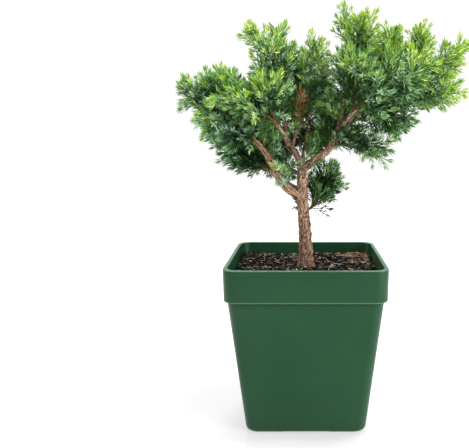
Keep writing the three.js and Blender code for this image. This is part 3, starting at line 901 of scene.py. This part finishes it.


# The crown: the same stems and side shoots as the solids have, with finer ones between them.
# Each mass: limb, place on it, tip, longest shoot, number of shoots, tone from deep 0 to yellow 1, and how
# closely finer shoots fill it. The tones are partly the plant's own greens and partly painted light: lower
# and inner masses are given deeper greens as painted shade, the top and the right lighter ones as painted
# light.
masses = {
    "left_tip": ("bough_left", 1, (-97.3, -22, 273.2), 30, 9, 0.5, 1),
    "left_up": ("bough_left", 0.9, (-68.1, 12, 287.2), 32, 9, 0.54, 1),
    "left_low": ("bough_left", 0.8, (-78.7, -40, 251.3), 32, 10, 0.44, 0.9),
    "left_inner": ("bough_left", 0.6, (-47.7, 34, 274.1), 30, 9, 0.44, 1),
    "left_under": ("bough_left_low", 1, (-76.3, 14, 231.9), 28, 8, 0.32, 0.8),
    "left_back": ("bough_left_low", 0.8, (-59.5, 46, 223.6), 30, 7, 0.32, 0.9),
    "top_left": ("bough_leader", 1, (-41, -16, 320.9), 28, 8, 0.62, 1),
    "top_inner": ("bough_leader", 0.85, (-20.5, 16, 324.9), 30, 8, 0.6, 1),
    "centre": ("bough_centre", 1, (11.2, -14, 309.9), 30, 9, 0.6, 1.1),
    "spike": ("bough_right_up", 1, (30.2, 6, 341.1), 18, 6, 0.62, 0.9),
    "top_right": ("bough_right_up", 0.8, (46.7, -18, 328), 30, 9, 0.6, 1),
    "right_crest": ("bough_right_out", 0.5, (72.3, 20, 324), 32, 9, 0.6, 1),
    "right_up": ("bough_right_out", 0.85, (90.3, -14, 318.2), 32, 10, 0.62, 1),
    "far_up": ("bough_right_out", 1, (132.3, 4, 308.7), 32, 9, 0.66, 0.9),
    "far_mid": ("bough_right_out", 0.75, (119.3, -30, 268.8), 32, 9, 0.56, 0.7),
    "right_low": ("bough_right_out", 0.35, (83.1, 8, 246.1), 28, 8, 0.36, 1.1),
    "right_hang": ("bough_right", 0.66, (67.6, -16, 224.2), 26, 8, 0.3, 0.5),
    "right_inner": ("bough_right", 0.45, (16.6, 26, 283.7), 30, 8, 0.46, 1.1),
    "low_right": ("bough_low_right", 1, (20.7, 13, 210.8), 25, 8, 0.32, 0.8),
    "back_left": ("bough_back_left", 1, (-63.7, 60, 281.3), 34, 8, 0.48, 1),
    "back_low": ("bough_back_left", 0.85, (-17.7, 38, 198.8), 30, 8, 0.28, 1.1),
    "back": ("bough_back", 1, (0.3, 72, 307.7), 34, 8, 0.56, 1),
    "back_under": ("bough_back", 0.85, (14.8, 50, 230.7), 30, 8, 0.28, 1.1),
    "back_right": ("bough_back_right", 1, (65.7, 62, 317), 34, 9, 0.62, 1),
    "back_far": ("bough_back_right", 0.9, (104, 58, 287.1), 34, 8, 0.55, 1),
    "front_left": ("bough_front_left", 1, (-66.9, -44, 264.9), 32, 8, 0.5, 0.7),
    "front": ("bough_front_left", 0.74, (-31.8, -44, 275.9), 30, 8, 0.48, 0.7),
    "front_right": ("bough_front_right", 0.68, (31.1, -46, 298.7), 32, 8, 0.48, 0.7),
    "front_far": ("bough_front_right", 1, (89.4, -50, 288.2), 34, 8, 0.52, 0.7),
}
massFields = ("limb", "at", "tip", "spread", "shoots", "tone", "fullness")
masses = {"needles_" + name: dict(zip(massFields, values)) for name, values in masses.items()}
growth = {
    "first": 0.02, "last": 0.72, "goldenTurn": 2.4, "forward": 1.3, "lift": 0.25, "thinning": 0.6,
    "leadFrom": 0.69, "leave": 0.4, "tries": (1, 0.95, 0.9, 0.82, 0.74, 0.66, 0.58, 0.5),
    "retryTurn": 0.8, "clearance": 0.6, "flank": 6, "seed": (11, 101, 31), "shift": 0.5,
    "uneven": (0.9, 1.15), "feel": (0.35, 0.6, 0.8, 1),
}
between = {"share": 1.8, "first": 0.06, "last": 0.9, "long": 0.85, "step": 0.618, "shift": 0.2}
tufts = {
    "every": 3.2, "from": 0.25, "length": (12, 22), "forward": 0.7, "lift": 0.2, "outer": 0.3,
    "lowest": -0.25, "front": -0.2, "frontFrom": 0.75, "sunk": 0.8,
    "first": {"trunk": 0.86, "bough_low_right": 0.5, "bough_back": 0.06, "bough_back_right": 0.06},
}
twigRule = {
    "pitch": 5.6, "stalk": 0.12, "bareEnd": 3, "length": (22, 12), "uneven": (0.8, 1.12), "fullAt": 18,
    "out": 0.75, "forward": 1, "flat": 0.6, "lift": 0.12, "shortest": 5, "stagger": 0.2, "stray": 0.25,
    "trims": (1.0, 0.85, 0.7, 0.55, 0.4), "trimStep": 0.15,
}
fineRule = {
    "spots": (0.3, 0.55), "length": (0.55, 0.42), "uneven": (0.8, 1.15), "out": 0.8, "forward": 1,
    "lift": 0.1, "shortest": 4, "from": 14,
}
needleRule = {
    "whorl": 3.0, "around": 3, "length": (8.0, 5.6), "wide": 1.1, "deep": 0.5,
    "open": (0.9, 0.45), "tuft": 4, "tuftOpen": (0.08, 0.42), "lift": 0.06, "uneven": (0.85, 1.12),
    "firstAt": 0.7, "twist": 1.3, "tuftTwist": 1.6, "stray": 0.25, "openness": (0.85, 1.15),
    "widest": 0.38, "sag": 0.08,
}
crownRoom = {"middle": (14, 0, 240), "cell": 5, "steps": 4, "full": 14, "paintedShading": 0.15, "seed": 77}
# how much lighter growth gets outwards from the halfway point, partly paler young growth and partly painted
# shade on the inner growth, and how uneven it is
toning = {"outer": 0.3, "halfway": 0.45, "shoots": 0.12, "twigs": 0.05, "needles": 0.1, "whorls": (0.2, 0.6)}
skyward = np.array((0, 0, 1.0))
askew = (0.2, 1, 0.1)

massNames = list(masses)
stems = {}
for name, mass in masses.items():
    limb = curves[mass["limb"]]
    root, end = limb.at(mass["at"]), np.array(mass["tip"], float)
    leave = limb.heading(mass["at"]) * growth["leave"] * np.linalg.norm(end - root)
    stems[name] = Curve([root, root + leave, end], bow=True)

crownReach = np.array([np.array(cadBox[0]) * 1000, np.array(cadBox[1]) * 1000])
stemLines = np.array([stems[name].line(10) for name in massNames])
limbLines = np.array([curves[name].line(12) for name in limbs])
limbRoom = np.array([[limbRadius(name, (k + 0.5) / 12) for k in range(12)] for name in limbs])


def distances(points, lines):
    # from each point to each straight piece of each line
    start = lines[:, :-1].reshape(-1, 3)
    span = lines[:, 1:].reshape(-1, 3) - start
    square = (span ** 2).sum(1)
    found = []
    for some in np.array_split(points, max(1, len(points) // 1500)):
        off = some[:, None] - start
        t = np.clip((off * span).sum(2) / square, 0, 1)
        found.append(np.linalg.norm(off - span * t[..., None], axis=2))
    return np.concatenate(found).reshape(len(points), len(lines), -1)


def isFree(points, own):
    # true where a point lies in the space of mass number own, and clear of the limbs
    near = distances(points, stemLines).min(2)
    mine = near[np.arange(len(points)), own]
    near[np.arange(len(points)), own] = np.inf
    clear = (distances(points, limbLines) - limbRoom - growth["clearance"]).min((1, 2)) > 0
    within = ((points > crownReach[0]) & (points < crownReach[1])).all(1)
    return (near.min(1) > mine + growth["clearance"]) & clear & within


def sideShoot(name, i, attempt):
    # the side shoots of the solids come first, then shorter ones between them
    stem = stems[name]
    spread, shoots = masses[name]["spread"], masses[name]["shoots"]
    base, perMass, perShoot = growth["seed"]
    draw = seeded(base + perMass * massNames.index(name) + perShoot * i)
    if i < shoots:
        t = mix(growth["first"], growth["last"], (i + growth["shift"] * draw()) / shoots)
    else:
        share = (i * between["step"] + between["shift"] * draw()) % 1
        t = mix(between["first"], between["last"], share)
        spread *= between["long"] * (1 - max(0, t - growth["last"]))
    along = stem.heading(t)
    side = unit(np.cross(along, askew))
    other = np.cross(along, side)
    turn = i * growth["goldenTurn"] + draw() - 0.5 + attempt * growth["retryTurn"]
    direction = unit(along * growth["forward"] + side * math.cos(turn) + other * math.sin(turn)
                     + skyward * growth["lift"])
    full = spread * (1 - growth["thinning"] * t) * mix(*growth["uneven"], draw())
    return stem.at(t), direction, full * growth["tries"][attempt], t


def shootsOf(number):
    name = massNames[number]
    stem = stems[name]
    root = stem.at(growth["leadFrom"])
    lead = stem.at(1) - root
    found = [(root, unit(lead), np.linalg.norm(lead), 1.0)]
    full = masses[name]["fullness"]
    for i in range(round(masses[name]["shoots"] * (1 + between["share"] * full))):
        for attempt in range(len(growth["tries"])):
            root, direction, length, t = sideShoot(name, i, attempt)
            across = unit(np.cross(direction, skyward))
            spots = [root + direction * length * s + across * growth["flank"] * w
                     for s in growth["feel"] for w in (-0.5, 0, 0.5)]
            if isFree(np.array(spots), np.full(len(spots), number)).all():
                found.append((root, direction, length, t))
                break
    return found


def limbTufts(rand):
    # short shoots straight from the boughs, rather on their far side
    found = []
    for name, curve in curves.items():
        length = curve.length()
        first = tufts["first"].get(name, tufts["from"])
        for k in range(round(length * (1 - first) / tufts["every"])):
            t = first + (k + rand.uniform(0.2, 0.8)) * tufts["every"] / length
            along = curve.heading(min(t, 1))
            side = unit(np.cross(along, askew))
            turn = rand.uniform(0, 2 * math.pi)
            out = side * math.cos(turn) + np.cross(along, side) * math.sin(turn)
            reach = rand.uniform(*tufts["length"])
            inFront = out[1] < tufts["front"] and t < tufts["frontFrom"]
            if t > 1 or out[2] < tufts["lowest"] or (inFront and k % 2):
                continue
            root = curve.at(t) + out * limbRadius(name, t) * tufts["sunk"]
            heading = unit(out + along * tufts["forward"] + skyward * tufts["lift"])
            found.append((root, heading, reach, tufts["outer"]))
    return found


def nearest(points):
    return distances(np.array(points), stemLines).min(2).argmin(1)


rand = np.random.default_rng(crownRoom["seed"])
shootData = []  # mass, root, direction, length, place along the stem
for number in range(len(massNames)):
    shootData += [(number, *shoot) for shoot in shootsOf(number)]
withered = {"root": (-7, 0, 247), "tip": (-4.4, -18, 270), "outer": 0.6}
along = np.subtract(withered["tip"], withered["root"])
loose = limbTufts(rand)
loose.append((np.array(withered["root"]), unit(along), np.linalg.norm(along), withered["outer"]))
owners = nearest([root + way * length * 0.7 for root, way, length, t in loose])
shootData += [(owner, *shoot) for owner, shoot in zip(owners, loose)]
print("shoots", len(shootData), "of which from the boughs", len(loose))


def asTable(rows):
    own, root, way, length, tint, outer = zip(*rows)
    return {
        "own": np.array(own), "root": np.array(root), "way": np.array(way), "length": np.array(length),
        "tint": np.array(tint), "outer": np.array(outer),
    }


def trimmed(table, shortest):
    # a twig ends where it would leave its mass's space
    kept = table["length"].copy()
    for share in twigRule["trims"]:
        ends = table["root"] + table["way"] * (table["length"] * share)[:, None]
        blocked = ~isFree(ends, table["own"])
        shorter = table["length"] * (share - twigRule["trimStep"])
        kept = np.where(blocked, np.minimum(kept, shorter), kept)
    good = kept > shortest
    table["length"] = kept
    return {key: value[good] for key, value in table.items()}


rows = []
for number, root, way, length, t in shootData:
    # the mass's tone and a lighter tone further out on its stem, both partly painted shade and light
    tone = masses[massNames[number]]["tone"] + toning["outer"] * (t - toning["halfway"])
    rows.append((number, root, way, length, tone + rand.normal(0, toning["shoots"]), t))
shootTable = asTable(rows)

# each shoot bears twigs all round that shorten towards its end, and each twig finer ones
rows = []
for number, root, way, length, tint, outer in zip(*shootTable.values()):
    across = unit(np.cross(way, skyward))
    normal = np.cross(way, across)
    roll = rand.uniform(0, math.pi)
    across, normal = (across * math.cos(roll) + normal * math.sin(roll),
                      normal * math.cos(roll) - across * math.sin(roll))
    stalk = length * twigRule["stalk"]
    pitch = twigRule["pitch"] / (0.5 + 0.5 * masses[massNames[number]]["fullness"])
    leafed = length - stalk - twigRule["bareEnd"]
    count = max(2, round(leafed / pitch))
    for k in range(count):
        stagger = rand.uniform(-twigRule["stagger"], twigRule["stagger"])
        s = stalk + leafed * (k + stagger) / count
        share = s / length
        turn = k * growth["goldenTurn"] + rand.normal(0, twigRule["stray"])
        out = across * math.cos(turn) + normal * math.sin(turn) * twigRule["flat"]
        heading = unit(way * twigRule["forward"] + out * twigRule["out"] + skyward * twigRule["lift"])
        long = mix(*twigRule["length"], share) * rand.uniform(*twigRule["uneven"])
        long *= min(1, length / twigRule["fullAt"])
        tone = tint + rand.normal(0, toning["twigs"])
        rows.append((number, root + way * s, heading, long, tone, share * (0.5 + 0.5 * outer)))
twigTable = trimmed(asTable(rows), twigRule["shortest"])

rows = []
for number, root, way, length, tint, outer in zip(*twigTable.values()):
    if length < fineRule["from"]:
        continue
    side = unit(np.cross(way, (0.3, 0.2, 1)))
    other = np.cross(way, side)
    first = rand.uniform(0, 2 * math.pi)
    for k, share in enumerate(fineRule["spots"]):
        turn = first + k * growth["goldenTurn"]
        out = side * math.cos(turn) + other * math.sin(turn)
        heading = unit(way * fineRule["forward"] + out * fineRule["out"] + skyward * fineRule["lift"])
        long = length * mix(*fineRule["length"], share) * rand.uniform(*fineRule["uneven"])
        tone = tint + rand.normal(0, toning["twigs"])
        rows.append((number, root + way * length * share, heading, long, tone, outer + 0.1))
fineTable = trimmed(asTable(rows), fineRule["shortest"])
print("twigs", len(twigTable["own"]), "finer twigs", len(fineTable["own"]))


def needlesOn(table, bare, scale):
    # whorls of needles along straight twigs, each whorl turned between the last one's needles
    root = table["root"] + table["way"] * bare[:, None]
    length = table["length"] - bare
    whorls = np.maximum(2, (length / needleRule["whorl"]).astype(int))
    around, tuft = needleRule["around"], needleRule["tuft"]
    index = np.repeat(np.arange(len(length)), whorls * around + tuft)
    first = np.concatenate([[0], np.cumsum(whorls * around + tuft)[:-1]])
    order = np.arange(len(index)) - first[index]
    atTip = order >= (whorls * around)[index]
    level = np.where(atTip, 1.0, (order // around + needleRule["firstAt"]) / whorls[index])
    phase = order % around * (2 * math.pi / around) + (order // around) * math.pi / around
    phase = phase + atTip * order * needleRule["tuftTwist"]
    phase = phase + rand.normal(0, needleRule["stray"], len(index)) + index * needleRule["twist"]
    opened = mix(*needleRule["open"], level) * rand.uniform(*needleRule["openness"], len(index))
    opened = np.where(atTip, rand.uniform(*needleRule["tuftOpen"], len(index)), opened)
    axis = table["way"][index]
    helper = np.where(np.abs(axis[:, 2:3]) > 0.9, (1.0, 0, 0), (0, 0, 1.0))
    side = unit(np.cross(axis, helper))
    other = np.cross(axis, side)
    radial = side * np.cos(phase)[:, None] + other * np.sin(phase)[:, None]
    heading = axis * np.cos(opened)[:, None] + radial * np.sin(opened)[:, None]
    heading = unit(heading + skyward * needleRule["lift"])
    long = mix(*needleRule["length"], level) * scale * rand.uniform(*needleRule["uneven"], len(index))
    change, middle = toning["whorls"]
    outer = toning["outer"] * (table["outer"][index] - toning["halfway"])
    return {
        "root": root[index] + axis * (length[index] * level)[:, None],
        "heading": heading, "radial": radial, "long": long, "own": table["own"][index],
        "tint": table["tint"][index] + change * (level - middle) + outer,
    }


# bare at the foot: a share of the length and a few millimetres; then how long the needles are
leafing = [(shootTable, 0.25, 0, 1.08), (twigTable, 0, 1, 1), (fineTable, 0, 0.6, 0.94)]
groups = [needlesOn(table, table["length"] * share + bare, scale)
          for table, share, bare, scale in leafing]
needles = {key: np.concatenate([group[key] for group in groups]) for key in groups[0]}
print("needles", len(needles["long"]))

# painted shade: deeper greens where other needles lie further out and above, and painted light: lighter
# greens on the outside of the crown
cell = crownRoom["cell"]
low = needles["root"].min(0) - 3 * cell
size = ((needles["root"].max(0) - low) / cell).astype(int) + 4
filled = np.zeros(size)
np.add.at(filled, tuple(((needles["root"] - low) / cell).astype(int).T), 1)
outward = unit(unit(needles["root"] - crownRoom["middle"]) + skyward * 0.5)
shadeCover = np.zeros(len(needles["root"]))
for step in range(1, crownRoom["steps"] + 1):
    place = ((needles["root"] + outward * cell * step - low) / cell).astype(int)
    shadeCover += filled[tuple(np.clip(place, 0, size - 1).T)]
# painted shade where many needles lie outwards, painted light where few do
needles["tint"] += crownRoom["paintedShading"] * (0.8 - np.clip(shadeCover / crownRoom["full"], 0, 2))
greens = {
    "deep": (paint(22, 51, 12), paint(54, 86, 46)),
    "shade": (paint(47, 88, 28), paint(104, 140, 98)),
    "cool": (paint(77, 124, 48), paint(150, 183, 144)),
    "mid": (paint(100, 149, 48), paint(172, 202, 154)),
    "fresh": (paint(117, 162, 36), paint(180, 208, 122)),
    "bright": (paint(147, 182, 42), paint(208, 224, 132)),
}
crownHues = {"Left": (1.02, 1.03, 1.32), "Middle": (0.98, 1.01, 1.1), "Right": (0.95, 0.99, 0.87)}
dead = (paint(132, 84, 42), paint(188, 138, 86))
rusty = [
    ((-4.2, -45, 264), 8), ((-4.5, -22, 267), 9), ((-5, -14, 264), 10), ((-5.5, -6, 258), 9),
    ((-6, 0, 252), 7), ((-5, 16, 268), 7), ((30, -20, 262), 5), ((-34, -24, 250), 5),
    ((12, 60, 262), 8), ((-30, 40, 244), 6),
]
rustyShare = 0.85
looks = {side: [] for side in crownHues}
for side, hue in crownHues.items():
    for name, pair in {**greens, "dead": dead}.items():
        for part, tint in zip(("Back", "Inner"), pair):
            looks[side].append(leafy(name + part + side, np.array(tint[:3]) * hue))
unevenness = rand.normal(0, toning["needles"], len(needles["tint"]))
tintIndex = (needles["tint"] + unevenness) * len(greens)
tintIndex = np.clip(tintIndex, 0, len(greens) - 1).astype(int)
for middle, radius in rusty:
    close = np.linalg.norm(needles["root"] - middle, axis=1) < radius
    tintIndex[close & (rand.random(len(close)) < rustyShare)] = len(greens)

crownPieces = {
    "crownLeftTips": ("Left", massNames[0:3]),
    "crownLeftInner": ("Left", massNames[3:6]),
    "crownTopLeft": ("Left", massNames[6:9]),
    "crownTopRight": ("Right", massNames[9:12]),
    "crownRight": ("Right", massNames[12:15]),
    "crownLow": ("Middle", massNames[15:19]),
    "crownBackLeft": ("Left", massNames[19:22]),
    "crownBackRight": ("Right", massNames[22:25]),
    "crownFront": ("Middle", massNames[25:29]),
}
for pieceName, (side, names) in crownPieces.items():
    mine = np.isin(needles["own"], [massNames.index(name) for name in names])
    root, heading = needles["root"][mine], needles["heading"][mine]
    radial, long = needles["radial"][mine], needles["long"][mine][:, None]
    across = unit(np.cross(radial, heading))
    upper = np.cross(across, heading)
    middle = root + heading * long * needleRule["widest"] - upper * needleRule["sag"] * long
    wide, deep = needleRule["wide"] / 2, needleRule["deep"]
    corners = np.stack([
        root, middle + across * wide, middle - across * wide, middle - upper * deep,
        root + heading * long,
    ], 1)
    faces = np.array([(0, 2, 1), (0, 3, 2), (0, 1, 3), (4, 1, 2), (4, 2, 3), (4, 3, 1)])
    count = len(corners)
    all3 = (faces[None] + np.arange(count)[:, None, None] * 5).reshape(-1)
    piece = meshFrom(pieceName, corners.reshape(-1, 3) / 1000, all3, np.arange(count * 6) * 3, False)
    handOver(piece, pieceName, "needles", names, *looks[side])
    tints = np.repeat(tintIndex[mine][:, None] * 2, 6, 1)
    tints[:, [0, 3]] += 1  # the inner side of a needle is paler than its back
    piece.data.polygons.foreach_set("material_index", tints.ravel().astype(np.int32))
    piece.data.update()

deadTwig = Curve([(-21.2, -10, 300.5), (-25.7, -13, 315.4), (-28.6, -15, 324.8)])
stemTaper, deadTaper = np.linspace(1.1, 0.4, 12), np.linspace(0.6, 0.35, 12)
stemTubes = tubes(
    [stems[name].line(11) for name in massNames] + [deadTwig.line(11)],
    np.array([stemTaper] * len(massNames) + [deadTaper]), 7,
)


def twigTubes(table, radii, sides):
    shares = np.linspace(0, 0.97, len(radii))
    lines = table["root"][:, None] + (table["way"] * table["length"][:, None])[:, None] * shares[:, None]
    return tubes(lines, np.tile(radii, (len(lines), 1)), sides)


stemLook = woody("stemBark", 300, (70, 46, 32), (118, 84, 58), (156, 122, 88))
handOver(pieceOf("stems", stemTubes, True), "crownStems", "bark", [], stemLook)
for name, table, radii, sides, skin, tint in (
    ("greenShoots", shootTable, (0.6, 0.5, 0.42, 0.25), 4, "shootSkin", paint(96, 104, 52)),
    ("greenTwigs", twigTable, (0.36, 0.32, 0.2), 3, "twigSkin", paint(88, 120, 52)),
    ("fineTwigs", fineTable, (0.26, 0.16), 3, "fineSkin", paint(92, 128, 54)),
):
    handOver(pieceOf(name, twigTubes(table, radii, sides), True), name, "needles", [], leafy(skin, tint))

print("scene ready")
